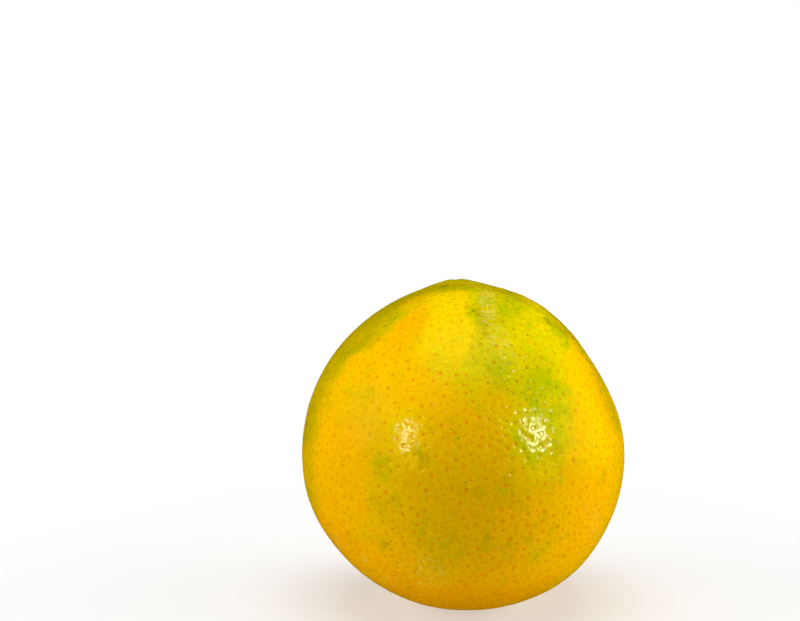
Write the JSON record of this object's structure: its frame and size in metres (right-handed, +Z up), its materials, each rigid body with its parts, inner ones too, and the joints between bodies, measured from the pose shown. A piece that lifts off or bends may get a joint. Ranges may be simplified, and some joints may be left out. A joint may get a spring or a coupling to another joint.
{
  "type": "tangelo",
  "caption": "Whole round tangelo with a low furrowed neck, a flattened shoulder and a dried stem button, resting on a small flat spot.",
  "frame": {"origin": "centre of the bounding box's base, on the surface that the fruit rests on", "axes": "+Z up, -Y towards the side that the picture shows, +X to that view's right; the stem end leans back towards +Y"},
  "size_m": [0.0756, 0.0761, 0.0759],
  "materials": {
    "peel": "waxy citrus peel, golden yellow with green patches and orange oil-gland dots, glossy with fine pits",
    "calyx": "dry, matt, grey-green to brown"
  },
  "bodies": {
    "root": {"fruit": "peel", "stem_button": "calyx"}
  },
  "joints": []
}
